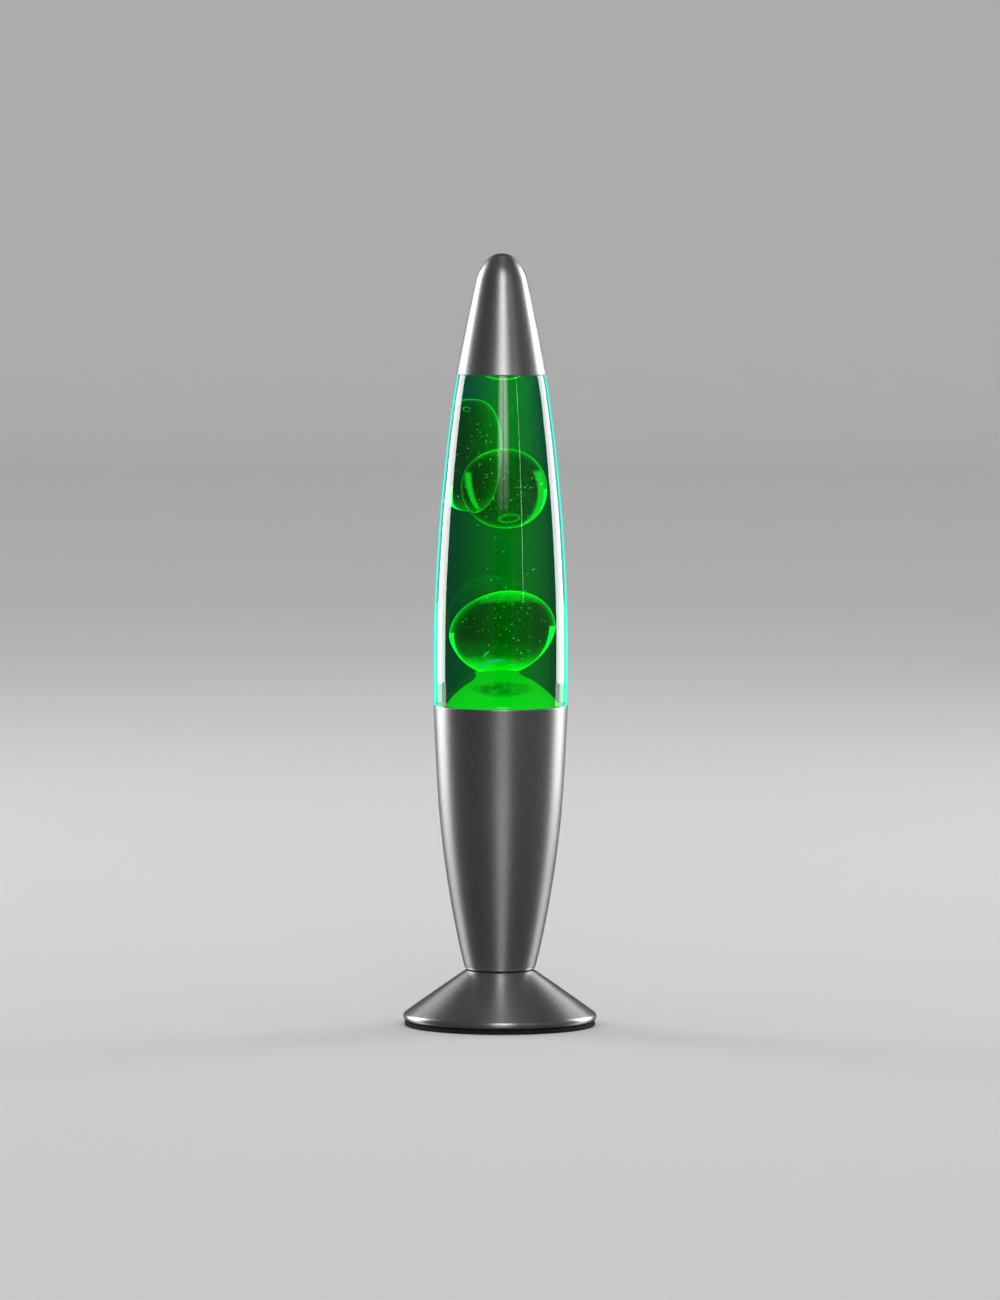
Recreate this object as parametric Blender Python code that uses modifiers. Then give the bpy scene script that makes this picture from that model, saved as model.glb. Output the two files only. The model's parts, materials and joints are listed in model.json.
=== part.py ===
"""A rocket-shaped lava lamp, 34 cm tall and 8.5 cm across its foot.

A spun aluminium body stands on a conical foot that holds an iron weight. Inside the body an E14
lampholder and a reflector bulb heat a glass bottle from below. The bottle holds dyed liquid, wax and
a wire coil, is closed by a crown cap, and wears a pointed aluminium cap that lifts off.

Sizes below are in millimetres, and MM turns them into Blender's metres. The lamp's axis is +Z, and
z = 0 is the table. A profile is a list of (radius, height) points that runs down its outer side.
"""

import math

import bmesh
import bpy
from mathutils import Matrix, Vector

MM = 0.001
GAP = 0.3  # air between neighbouring pieces

# Driving dimensions
HEIGHT = 339.3
CAP_EDGE_Z = 286.5
CAP_EDGE_RADIUS = 19.97
CAP_WALL = 0.5
BODY_TOP_Z = 141.1
BODY_FLOOR_Z = 24.7
BODY_WALL = 0.6
FOOT_TOP_Z = 24.4
FOOT_WALL = 0.8
RIM_RADIUS = 42.5
RIM_BEAD = 1.95  # radius of the rounded rim of the foot
PAD_THICKNESS = 1.8
GLASS_WALL = 2.0
LIQUID_LEVEL_Z = 289.5

# Facets round a turned piece, by its size
LARGE = 32
MEDIUM = 20
SMALL = 12

# Outlines of the large turned pieces, as (radius, height) from top to bottom
BELLY = [
    (21.2, 275.3),
    (23.6, 257.3),
    (25.65, 238.0),
    (27.4, 218.0),
    (29.15, 187.0),
    (29.5, 158.0),
    (29.2, 143.2),
]
BODY_SIDE = [
    (29.5, BODY_TOP_Z),
    (28.6, 121.0),
    (27.3, 99.0),
    (25.1, 77.0),
    (21.8, 55.0),
    (18.3, 37.0),
    (16.3, 28.6),
    (15.85, 26.7),
]
FOOT_SLOPE = [(15.9, 23.9), (22.8, 19.1), (29.2, 14.6), (35.5, 10.15)]
MOUND_TOP = [(6.4, 152.6), (12.5, 147.8), (18.5, 140), (22.3, 133.5), (24.75, 127.5)]

# The clamp stack: a threaded tube joins weight, foot, body and lampholder
TUBE_RADIUS = 5.0
TUBE_BORE = 3.4
TUBE_BOTTOM_Z = 8.0
TUBE_TOP_Z = 35.4
CLEARANCE_HOLE = 5.35
NUT_ACROSS_FLATS = 14.0
WASHER_RADIUS = 9.5
WEIGHT_BOTTOM_Z = 4.9
WEIGHT_TOP_Z = 17.0
WEIGHT_WEB_Z = 14.0  # roof of the recess for the lower nut

# Lampholder and bulb
HOLDER_BOTTOM_Z = 31.4
THREAD_PITCH = 2.82
THREAD_TURNS = 5
THREAD_DEPTH = 0.35
BULB_TIP_Z = 45.2
BULB_TOP_Z = 108.2
BULB_RADIUS = 19.4

# Wax: centre, semi-axes and tilt of each floating piece
BLOB_LOW = ((0.6, 0.0, 172.9), (17.8, 17.0, 18.2), (0.0, 15.0, 0.0))
BLOB_HIGH = ((0.7, -6.2, 236.4), (15.0, 13.4, 17.4), (0.0, -8.0, 0.0))
BLOB_SIDE = ((-8.6, 11.8, 250.7), (8.4, 6.4, 24.4), (4.8, 3.5, 0.0))
BLOB_TOP = ((0.5, 0.0, 287.6), (9.0, 9.0, 4.4), (0.0, 0.0, 0.0))

# Cord outlet, on the back of the foot's slope
GROMMET_Y = 34.4
GROMMET_Z = 10.93
GROMMET_SLOPE = 54.7  # the slope's normal, in degrees above the table
GROMMET_HOLE = 3.7
GROMMET_BORE = 2.6

# Underside
PLATE_RADIUS = 39.1
PLATE_BOTTOM_Z = PAD_THICKNESS + GAP
PLATE_TOP_Z = 4.6
PLATE_SCREWS = 3
PLATE_SCREW_CIRCLE = 30.0
PLATE_SCREW_TURN = 60.0  # degrees from the cord outlet round to the first screw


def clear_scene():
    for obj in list(bpy.data.objects):
        bpy.data.objects.remove(obj)


def new_collection(name):
    collection = bpy.data.collections.new(name)
    bpy.context.scene.collection.children.link(collection)
    return collection


clear_scene()
PARTS = new_collection("lava_lamp")
CUTTERS = new_collection("cutters")


def material(name, colour, roughness, metallic=0.0, transmission=0.0):
    made = bpy.data.materials.new(name)
    made.use_nodes = True
    shader = made.node_tree.nodes["Principled BSDF"]
    shader.inputs["Base Color"].default_value = (*colour, 1.0)
    shader.inputs["Roughness"].default_value = roughness
    shader.inputs["Metallic"].default_value = metallic
    shader.inputs["Transmission Weight"].default_value = transmission
    made.diffuse_color = (*colour, 1.0)
    return made


ALUMINIUM = material("brushed_aluminium", (0.56, 0.56, 0.57), 0.34, metallic=1.0)
STEEL = material("zinc_plated_steel", (0.62, 0.62, 0.60), 0.38, metallic=1.0)
IRON = material("cast_iron", (0.07, 0.07, 0.075), 0.65, metallic=0.6)
BRASS = material("brass", (0.78, 0.57, 0.22), 0.30, metallic=1.0)
NICKEL = material("nickelled_cap", (0.72, 0.70, 0.66), 0.25, metallic=1.0)
FOAM = material("black_foam_pad", (0.012, 0.012, 0.013), 0.9)
RUBBER = material("black_rubber", (0.015, 0.015, 0.016), 0.7)
BLACK_PLASTIC = material("black_plastic", (0.02, 0.02, 0.022), 0.45)
PHENOLIC = material("phenolic", (0.03, 0.025, 0.022), 0.35)
CERAMIC = material("ceramic", (0.85, 0.83, 0.78), 0.4)
CLEAR_GLASS = material("clear_glass", (0.95, 1.0, 0.98), 0.02, transmission=1.0)
BULB_GLASS = material("bulb_glass", (0.9, 0.9, 0.88), 0.3, transmission=0.6)
LIQUID = material("dyed_liquid", (0.0, 0.35, 0.2), 0.02, transmission=1.0)
WAX = material("green_wax", (0.01, 0.65, 0.05), 0.25)
LINER = material("crown_liner", (0.75, 0.75, 0.72), 0.6)
TUNGSTEN = material("tungsten", (0.35, 0.34, 0.33), 0.4, metallic=1.0)
BROWN_SLEEVE = material("brown_sleeve", (0.16, 0.06, 0.02), 0.5)
BLUE_SLEEVE = material("blue_sleeve", (0.02, 0.10, 0.45), 0.5)


# ---- Curves and profiles -------------------------------------------------------------------------


def bezier(start, leave, arrive, end, count):
    """count + 1 points along a cubic curve."""
    points = []
    for i in range(count + 1):
        t = i / count
        weights = ((1 - t) ** 3, 3 * t * (1 - t) ** 2, 3 * t * t * (1 - t), t**3)
        corners = (start, leave, arrive, end)
        points.append(tuple(sum(w * c[k] for w, c in zip(weights, corners)) for k in range(len(start))))
    return points


def smooth(stations, steps=2):
    """Points on a Catmull-Rom curve through the stations, steps to each span."""
    first = tuple(2 * a - b for a, b in zip(stations[0], stations[1]))
    last = tuple(2 * a - b for a, b in zip(stations[-1], stations[-2]))
    padded = [first, *stations, last]
    points = []
    for before, start, end, after in zip(padded, padded[1:], padded[2:], padded[3:]):
        leave = tuple(s + (e - b) / 6 for s, e, b in zip(start, end, before))
        arrive = tuple(e - (a - s) / 6 for e, a, s in zip(end, after, start))
        points += bezier(start, leave, arrive, end, steps)[:-1]
    return points + [stations[-1]]


def arc(centre, radius, start_degrees, end_degrees, count):
    """count + 1 points on a circle in the (radius, height) plane."""
    points = []
    for i in range(count + 1):
        angle = math.radians(start_degrees + (end_degrees - start_degrees) * i / count)
        points.append((centre[0] + radius * math.cos(angle), centre[1] + radius * math.sin(angle)))
    return points


def offset(path, distance):
    """The path moved to its inner side, which is towards the axis where the path runs down."""
    moved = []
    for i, (r, z) in enumerate(path):
        normals = []
        for a, b in ((i - 1, i), (i, i + 1)):
            if 0 <= a and b < len(path):
                along = Vector((path[b][0] - path[a][0], path[b][1] - path[a][1])).normalized()
                normals.append(Vector((along.y, -along.x)))
        middle = sum(normals, Vector((0, 0))).normalized()
        reach = distance / middle.dot(normals[0])
        moved.append((r + middle.x * reach, z + middle.y * reach))
    return moved


def radius_at(path, height):
    """The radius at which a path crosses a height."""
    for (r0, z0), (r1, z1) in zip(path, path[1:]):
        if min(z0, z1) <= height <= max(z0, z1) and z0 != z1:
            return r0 + (r1 - r0) * (height - z0) / (z1 - z0)
    raise ValueError(f"the path doesn't reach {height}")


# ---- Making objects ------------------------------------------------------------------------------


def add(name, mesh, finish, collection=PARTS):
    obj = bpy.data.objects.new(name, mesh)
    collection.objects.link(obj)
    if finish:
        obj.data.materials.append(finish)
    if collection is CUTTERS:
        obj.hide_render = True
        obj.display_type = "WIRE"
    return obj


def turned(name, profile, finish, facets=LARGE, collection=PARTS, wall=0.0):
    """A turned piece. With a wall, the profile is a shell's outer side. Without one, it encloses a
    solid, either as a loop or between two points on the axis."""
    count = len(profile)
    edges = [(i, i + 1) for i in range(count - 1)]
    on_axis = profile[0][0] == 0 and profile[-1][0] == 0
    if not on_axis and not wall:
        edges.append((count - 1, 0))
    mesh = bpy.data.meshes.new(name)
    mesh.from_pydata([(r * MM, 0, z * MM) for r, z in profile], edges, [])
    obj = add(name, mesh, finish, collection)
    screw = obj.modifiers.new("turn", "SCREW")
    screw.axis = "Z"
    screw.steps = facets
    screw.render_steps = facets
    screw.use_merge_vertices = True
    screw.merge_threshold = 1e-6
    screw.use_smooth_shade = True
    if wall:
        solidify = obj.modifiers.new("wall", "SOLIDIFY")
        solidify.thickness = wall * MM
        solidify.offset = -1.0
        solidify.use_even_offset = True
    return obj


def block(name, size, centre, finish=None, collection=PARTS, bevel=0.0):
    """A rectangular block, with rounded edges if bevel is given."""
    mesh = bpy.data.meshes.new(name)
    shape = bmesh.new()
    scale = Matrix.Diagonal(Vector(size) * MM).to_4x4()
    bmesh.ops.create_cube(shape, size=1.0, matrix=scale)
    shape.to_mesh(mesh)
    shape.free()
    obj = add(name, mesh, finish, collection)
    obj.location = Vector(centre) * MM
    if bevel:
        rounding = obj.modifiers.new("rounding", "BEVEL")
        rounding.width = bevel * MM
        rounding.segments = 2
    return obj


def rod(name, radius, length, centre, axis="Z", finish=None, collection=PARTS, sides=SMALL):
    """A straight cylinder along X, Y or Z, centred at a point. Six sides make a hexagonal bar."""
    mesh = bpy.data.meshes.new(name)
    shape = bmesh.new()
    bmesh.ops.create_cone(
        shape,
        cap_ends=True,
        segments=sides,
        radius1=radius * MM,
        radius2=radius * MM,
        depth=length * MM,
    )
    shape.to_mesh(mesh)
    shape.free()
    obj = add(name, mesh, finish, collection)
    obj.location = Vector(centre) * MM
    quarter = math.radians(90)
    obj.rotation_euler = {"X": (0, quarter, 0), "Y": (quarter, 0, 0), "Z": (0, 0, 0)}[axis]
    return obj


def cut(obj, *cutters):
    for cutter in cutters:
        boolean = obj.modifiers.new(cutter.name, "BOOLEAN")
        boolean.operation = "DIFFERENCE"
        boolean.object = cutter


def ellipsoid(name, blob, finish, grow=0.0, facets=(16, 10), collection=PARTS):
    """A wax blob, from its centre, semi-axes and tilt in degrees. grow enlarges it all round."""
    centre, axes, tilt = blob
    mesh = bpy.data.meshes.new(name)
    shape = bmesh.new()
    size = Matrix.Diagonal([(a + grow) * MM for a in axes]).to_4x4()
    bmesh.ops.create_uvsphere(shape, u_segments=facets[0], v_segments=facets[1], radius=1.0, matrix=size)
    for face in shape.faces:
        face.smooth = True
    shape.to_mesh(mesh)
    shape.free()
    obj = add(name, mesh, finish, collection)
    obj.location = Vector(centre) * MM
    obj.rotation_euler = [math.radians(a) for a in tilt]
    return obj


def wire(name, points, radius, finish, cyclic=False):
    """A round wire or lead along a list of points."""
    curve = bpy.data.curves.new(name, "CURVE")
    curve.dimensions = "3D"
    curve.bevel_depth = radius * MM
    curve.bevel_resolution = 2
    curve.use_fill_caps = True
    spline = curve.splines.new("POLY")
    spline.points.add(len(points) - 1)
    for point, place in zip(spline.points, points):
        point.co = (*(Vector(place) * MM), 1.0)
    spline.use_cyclic_u = cyclic
    obj = bpy.data.objects.new(name, curve)
    PARTS.objects.link(obj)
    curve.materials.append(finish)
    return obj


# ---- Cap and bottle ------------------------------------------------------------------------------


def cap_outline():
    """The pointed cap: a cone that rounds over into the nose."""
    nose = bezier((0.0, HEIGHT), (6.4, HEIGHT), (10.2, 332.9), (11.4, 327.4), 6)
    return nose + [(15.15, 310.2), (CAP_EDGE_RADIUS, CAP_EDGE_Z)]


def make_top_cap():
    turned("top_cap", cap_outline(), ALUMINIUM, wall=CAP_WALL)


def bottle_outer():
    """The bottle's outside, from its lip down to the middle of the hollow under it."""
    lip = [(12.0, 307.0), (12.6, 306.3), (12.6, 303.6), (11.5, 302.4)]
    shoulder = [(11.4, 298.5), (13.2, 295.0), (17.4, 289.6), (19.15, 285.6)]
    seat = [(28.55, 141.0)]
    heel = [(28.0, 132.0), (26.9, 122.0), (25.6, 116.8), (23.7, 113.6), (20.6, 112.5)]
    hollow = [(17.5, 112.9), (12.5, 115.3), (0.0, 116.0)]
    return lip + shoulder + BELLY + seat + heel + hollow


def bottle_inner():
    """The bottle's inside, from the middle of its floor up to the mouth."""
    floor = [(0.0, 118.5), (12.0, 117.8), (16.5, 115.6), (21.0, 115.4)]
    heel = smooth([(23.2, 117.2), (24.7, 122.5), (25.6, 131.0), (26.3, 140.0)], 1)
    belly = offset(BELLY, GLASS_WALL)[::-1]
    neck = [(16.1, 288.4), (12.0, 293.0), (9.3, 298.0), (9.3, 306.4), (9.9, 307.0)]
    return floor + heel + belly[1:] + neck


def make_bottle():
    turned("bottle_glass", bottle_inner() + bottle_outer(), CLEAR_GLASS)


def make_crown_cap():
    """The bottle's crown cap, with 21 flutes in its skirt, and the liner under it."""
    flutes = 21
    outer = [(0.0, 308.9), (10.8, 308.9), (12.9, 308.1), (13.5, 306.2), (14.1, 303.2)]
    skirt_top_z = 307.0
    flute_depth = 0.35
    crown = turned("crown_cap", outer, STEEL, facets=2 * flutes, wall=0.4)
    graph = bpy.context.evaluated_depsgraph_get()
    fluted = bpy.data.meshes.new_from_object(crown.evaluated_get(graph))
    crown.modifiers.clear()
    crown.data = fluted
    for vertex in fluted.vertices:
        reach = math.hypot(vertex.co.x, vertex.co.y)
        if vertex.co.z < skirt_top_z * MM and reach > 0:
            wave = math.cos(flutes * math.atan2(vertex.co.y, vertex.co.x))
            vertex.co.xy *= 1 + flute_depth * MM * wave / reach
    liner = [(0.0, 308.1), (11.7, 308.1), (11.7, 307.4), (0.0, 307.4)]
    turned("crown_liner", liner, LINER, MEDIUM)


def mound_outline(raise_by=0.0):
    """The wax pool's domed top, from the axis out to the glass."""
    apex = (0.0, 154.0)
    mirrored = (-MOUND_TOP[0][0], MOUND_TOP[0][1])
    dome = smooth([mirrored, apex, *MOUND_TOP], 1)[1:]
    return [(r if r > 1e-6 else 0.0, z + raise_by) for r, z in dome]


def make_wax():
    """The pool of wax over the coil, with a groove under it for the coil, and the floating pieces."""
    groove = [(22.2, 118.6), (22.2, 123.2), (14.5, 123.2), (14.5, 117.3), (12.0, 118.2), (0.0, 118.9)]
    edge = [(24.1, 122.5)]
    turned("wax_mound", mound_outline() + edge + groove, WAX)
    ellipsoid("wax_blob_low", BLOB_LOW, WAX)
    ellipsoid("wax_blob_high", BLOB_HIGH, WAX)
    ellipsoid("wax_blob_side", BLOB_SIDE, WAX)
    ellipsoid("wax_blob_top", BLOB_TOP, WAX, facets=(16, 8))


def passage(name, start, end, radius):
    """A cutter that joins two hollows."""
    start, end = Vector(start), Vector(end)
    obj = rod(name, radius, (end - start).length, (start + end) / 2, collection=CUTTERS)
    obj.rotation_euler = (end - start).to_track_quat("Z", "Y").to_euler()
    return obj


def make_liquid():
    """The dyed liquid: what the wax leaves of the bottle's inside. Its hollows for the wax are joined
    to its surface by short passages where wax meets wax, or wax meets glass."""
    inner = bottle_inner()
    wall = [p for p in offset(inner[::-1], GAP) if 128.5 < p[1] < LIQUID_LEVEL_Z]
    level = [(0.0, LIQUID_LEVEL_Z), (radius_at(inner, LIQUID_LEVEL_Z) - GAP, LIQUID_LEVEL_Z)]
    floor = mound_outline(raise_by=GAP + 0.1)[::-1]
    liquid = turned("liquid", level + wall + floor, LIQUID)
    high, side = Vector(BLOB_HIGH[0]), Vector(BLOB_SIDE[0])
    wall_side = Vector((side.x, side.y, 0)) * 1.8 + Vector((0, 0, side.z))
    cut(
        liquid,
        ellipsoid("low_hollow", BLOB_LOW, None, grow=0.35, collection=CUTTERS),
        ellipsoid("high_hollow", BLOB_HIGH, None, grow=0.35, collection=CUTTERS),
        ellipsoid("side_hollow", BLOB_SIDE, None, grow=0.35, collection=CUTTERS),
        ellipsoid("top_hollow", BLOB_TOP, None, grow=0.35, facets=(16, 8), collection=CUTTERS),
        passage("low_passage", (0.3, 0.2, 150.0), (0.3, 0.2, 162.0), 3.0),
        passage("high_passage", high, (side.x, side.y, high.z + 4), 1.5),
        passage("side_passage", side, wall_side, 2.0),
    )


def make_coil():
    """The wire coil on the bottle's floor, which carries heat into the wax: a spring bent into a ring."""
    ring_radius = 18.35
    coil_radius = 2.7
    wire_radius = 0.45
    turns = 9
    steps = 6 * turns
    points = []
    for i in range(steps):
        around = 2 * math.pi * i / steps
        reach = ring_radius + coil_radius * math.cos(turns * around)
        height = 119.4 + coil_radius * math.sin(turns * around)
        points.append((reach * math.cos(around), reach * math.sin(around), height))
    wire("wax_coil", points, wire_radius, STEEL, cyclic=True)


# ---- Body, foot and underside --------------------------------------------------------------------


def make_body():
    """The vase-shaped body, open at the top, with a small flat floor that the tube clamps."""
    corner = [(15.0, 25.2), (13.8, BODY_FLOOR_Z)]
    outer = BODY_SIDE + corner + [(CLEARANCE_HOLE, BODY_FLOOR_Z)]
    turned("body_shell", outer, ALUMINIUM, wall=BODY_WALL)


def foot_outline():
    top = [(CLEARANCE_HOLE, FOOT_TOP_Z), (14.4, FOOT_TOP_Z)]
    centre = (RIM_RADIUS - RIM_BEAD, PLATE_BOTTOM_Z + RIM_BEAD)
    bead = arc(centre, RIM_BEAD, 55, -90, 4)
    return top + smooth([*FOOT_SLOPE, bead[0]], 1) + bead[1:] + [(39.5, PLATE_BOTTOM_Z)]


def make_foot():
    """The conical foot with its rolled rim, and the hole for the cord grommet."""
    foot = turned("foot_shell", foot_outline(), ALUMINIUM, wall=FOOT_WALL)
    hole = rod("grommet_hole", GROMMET_HOLE, 8.0, (0, 0, 0), collection=CUTTERS, sides=MEDIUM)
    place_on_slope(hole)
    cut(foot, hole)


def place_on_slope(obj):
    """Stand an object's own Z axis square on the foot's slope, at the back."""
    obj.rotation_euler = (-math.radians(90 - GROMMET_SLOPE), 0, 0)
    obj.location = (0, GROMMET_Y * MM, GROMMET_Z * MM)


def make_grommet():
    """The rubber grommet that a supply cord would leave by. Its flanges hold the foot's wall."""
    outer_face = GAP
    inner_face = -FOOT_WALL - GAP - 0.2
    waist = GROMMET_HOLE - GAP
    flange = GROMMET_HOLE + 1.1
    profile = [
        (GROMMET_BORE, outer_face + 1.1),
        (flange - 0.6, outer_face + 1.1),
        (flange, outer_face + 0.5),
        (flange, outer_face),
        (waist, outer_face),
        (waist, inner_face),
        (flange, inner_face),
        (flange, inner_face - 0.9),
        (GROMMET_BORE, inner_face - 0.9),
    ]
    place_on_slope(turned("cord_grommet", profile, RUBBER, MEDIUM))


def screw_places():
    """Centres of the screws under the base plate, in (x, y)."""
    places = []
    for i in range(PLATE_SCREWS):
        angle = math.radians(90 + PLATE_SCREW_TURN + 360 * i / PLATE_SCREWS)
        places.append((PLATE_SCREW_CIRCLE * math.cos(angle), PLATE_SCREW_CIRCLE * math.sin(angle)))
    return places


def make_weight():
    """The cast-iron weight: a recess for the lower nut, and a channel and pocket for the wiring."""
    recess = 10.4
    profile = [
        (CLEARANCE_HOLE, WEIGHT_TOP_Z),
        (22.6, WEIGHT_TOP_Z),
        (36.4, 7.4),
        (36.4, WEIGHT_BOTTOM_Z),
        (recess, WEIGHT_BOTTOM_Z),
        (recess, WEIGHT_WEB_Z),
        (CLEARANCE_HOLE, WEIGHT_WEB_Z),
    ]
    weight = turned("counterweight", profile, IRON, 24)
    channel = block("lead_channel", (9.0, 14.0, 8.8), (0, 10.5, 5.2), collection=CUTTERS)
    pocket = block("block_pocket", (14.0, 13.4, 17.0), (0, 22.2, 5.2), collection=CUTTERS)
    outlet = block("outlet_channel", (10.6, 16.0, 20.6), (0, 34.0, 4.6), collection=CUTTERS)
    cut(weight, channel, pocket, outlet)
    for i, (x, y) in enumerate(screw_places(), 1):
        cut(weight, rod(f"tapped_hole_{i}", 1.85, 10.0, (x, y, 4.5), collection=CUTTERS))


def make_base_plate():
    """The plastic plate inside the rim, its countersunk screws, and the foam pad under everything."""
    plate_profile = [
        (0.0, PLATE_TOP_Z),
        (PLATE_RADIUS, PLATE_TOP_Z),
        (PLATE_RADIUS, PLATE_BOTTOM_Z),
        (0.0, PLATE_BOTTOM_Z),
    ]
    plate = turned("base_plate", plate_profile, BLACK_PLASTIC)
    head_z = PLATE_BOTTOM_Z + 0.1
    for i, (x, y) in enumerate(screw_places(), 1):
        sink_profile = [(0.0, 6.0), (1.85, 6.0), (1.85, 4.0), (3.45, 2.3), (3.45, 1.5), (0.0, 1.5)]
        sink = turned(f"countersink_{i}", sink_profile, None, SMALL, CUTTERS)
        sink.location = (x * MM, y * MM, 0)
        cut(plate, sink)
        screw_profile = [(0.0, 8.6), (1.5, 8.6), (1.5, 3.9), (3.1, head_z), (0.0, head_z)]
        screw = turned(f"plate_screw_{i}", screw_profile, STEEL, SMALL)
        screw.location = (x * MM, y * MM, 0)
        slot = block(f"plate_screw_slot_{i}", (7.0, 0.7, 1.2), (x, y, head_z), collection=CUTTERS)
        cut(screw, slot)
    pad = [(0.0, PAD_THICKNESS), (41.9, PAD_THICKNESS), (41.9, 0.0), (0.0, 0.0)]
    turned("base_pad", pad, FOAM)


# ---- Clamp stack ---------------------------------------------------------------------------------


def make_nut(name, bottom_z, height=4.0):
    corner_radius = NUT_ACROSS_FLATS / math.sqrt(3)
    middle = (0, 0, bottom_z + height / 2)
    nut = rod(name, corner_radius, height, middle, finish=STEEL, sides=6)
    bore = rod(f"{name}_bore", CLEARANCE_HOLE, height + 2, middle, collection=CUTTERS, sides=MEDIUM)
    cut(nut, bore)


def make_washer(name, bottom_z, height=1.0):
    profile = [
        (CLEARANCE_HOLE, bottom_z + height),
        (WASHER_RADIUS, bottom_z + height),
        (WASHER_RADIUS, bottom_z),
        (CLEARANCE_HOLE, bottom_z),
    ]
    turned(name, profile, STEEL, MEDIUM)


def make_clamp_stack():
    tube = [
        (TUBE_BORE, TUBE_TOP_Z),
        (TUBE_RADIUS - 0.4, TUBE_TOP_Z),
        (TUBE_RADIUS, TUBE_TOP_Z - 0.4),
        (TUBE_RADIUS, TUBE_BOTTOM_Z + 0.4),
        (TUBE_RADIUS - 0.4, TUBE_BOTTOM_Z),
        (TUBE_BORE, TUBE_BOTTOM_Z),
    ]
    turned("threaded_tube", tube, STEEL, MEDIUM)
    make_nut("lower_nut", 8.4)
    make_washer("lower_washer", 12.7)
    make_washer("upper_washer", 25.8)
    make_nut("upper_nut", 27.1)


# ---- Lampholder ----------------------------------------------------------------------------------


def thread_wave(bottom_z, radius, depth):
    """The rolled Edison thread seen from the side, from top to bottom, as crests and roots."""
    points = []
    for i in range(2 * THREAD_TURNS, -1, -1):
        ripple = depth if i % 2 else -depth
        points.append((radius + ripple, bottom_z + i * THREAD_PITCH / 2))
    return points


def make_lampholder():
    collar = [(CLEARANCE_HOLE, 35.6), (CLEARANCE_HOLE, HOLDER_BOTTOM_Z)]
    outside = smooth([(13.0, 44.2), (12.9, 40.5), (10.6, 37.0), (7.8, 34.6), (7.6, HOLDER_BOTTOM_Z)], 1)
    turned("holder_cap", collar[::-1] + [(10.9, 37.9), (10.9, 44.2)] + outside, PHENOLIC)
    skirt = [(9.4, 63.6), (12.2, 63.6), (12.9, 62.6), (13.0, 44.5), (10.9, 44.5), (10.9, 45.6), (9.4, 47.0)]
    turned("holder_skirt", skirt, PHENOLIC, 24)
    insert = [(0.0, 42.6), (10.5, 42.6), (10.5, 38.2), (0.0, 38.2)]
    turned("holder_insert", insert, CERAMIC, MEDIUM)
    thread = thread_wave(48.4, 7.7, THREAD_DEPTH)
    outer = [(8.9, 62.9), (8.9, 61.9), (8.5, 61.4), (8.5, 47.8)]
    turned("holder_thread_shell", outer + [(8.0, 47.8)] + thread[::-1] + [(8.2, 62.9)], BRASS, MEDIUM)


def make_contact_leaf():
    """The sprung contact under the bulb's tip: a strip with a hump, thickened by Solidify."""
    half_width = 1.5
    hump = [(-6.0, 42.95), (-3.4, 42.95), (-1.2, 44.2), (1.4, 44.5), (2.8, 44.2)]
    mesh = bpy.data.meshes.new("contact_leaf")
    rows = [(x * MM, side * half_width * MM, z * MM) for x, z in hump for side in (-1, 1)]
    faces = [(2 * i, 2 * i + 2, 2 * i + 3, 2 * i + 1) for i in range(len(hump) - 1)]
    mesh.from_pydata(rows, [], faces)
    leaf = add("contact_leaf", mesh, BRASS)
    thick = leaf.modifiers.new("thickness", "SOLIDIFY")
    thick.thickness = 0.35 * MM
    thick.offset = 1.0


def make_slotted_screw(name, place, radius, head_z, shank_z, up):
    """A small screw. up says whether its slotted head points up."""
    sign = 1 if up else -1
    x, y = place
    profile = [(0.0, 0.0), (radius, 0.0), (radius, -1.1), (radius * 0.6, -1.1)]
    profile += [(radius * 0.6, -abs(head_z - shank_z)), (0.0, -abs(head_z - shank_z))]
    screw = turned(name, profile, BRASS, SMALL)
    screw.location = (x * MM, y * MM, head_z * MM)
    if not up:
        screw.rotation_euler = (math.pi, 0, 0)
    slot_z = head_z - sign * 0.1
    slot = block(f"{name}_slot", (2 * radius + 1, 0.5, 0.9), (x, y, slot_z), collection=CUTTERS)
    cut(screw, slot)


# ---- Wiring --------------------------------------------------------------------------------------


def make_terminal_block():
    """A two-pole block in the weight's pocket. Leads come in from the middle, a supply from the back."""
    body = block("terminal_block", (12.4, 9.6, 7.4), (0, 21.6, 9.1), CERAMIC, bevel=0.6)
    for i, x in enumerate((-3.0, 3.0), 1):
        way = rod(f"lead_way_{i}", 1.35, 12, (x, 21.6, 7.6), "Y", collection=CUTTERS)
        well = rod(f"screw_well_{i}", 1.75, 4.0, (x, 19.4, 12.0), collection=CUTTERS)
        cut(body, way, well)
        make_slotted_screw(f"terminal_screw_{i}", (x, 19.4), 1.4, 12.6, 10.4, up=True)


def lead_route(side):
    """From the lampholder's terminal down the tube, out under it and along the channel to the block."""
    return smooth(
        [
            (side * 4.2, 0.0, 37.2),
            (side * 2.6, 0.0, 36.4),
            (side * 1.35, 0.0, 34.4),
            (side * 1.3, 0.0, 24.0),
            (side * 1.3, 0.0, 11.0),
            (side * 1.35, 1.2, 7.6),
            (side * 1.6, 5.0, 6.5),
            (side * 2.2, 11.0, 6.9),
            (side * 3.0, 15.4, 7.6),
            (side * 3.0, 18.6, 7.6),
        ],
        2,
    )


def make_leads():
    wire("lead_live", lead_route(-1), 0.95, BROWN_SLEEVE)
    wire("lead_neutral", lead_route(1), 0.95, BLUE_SLEEVE)


# ---- Bulb ----------------------------------------------------------------------------------------


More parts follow.
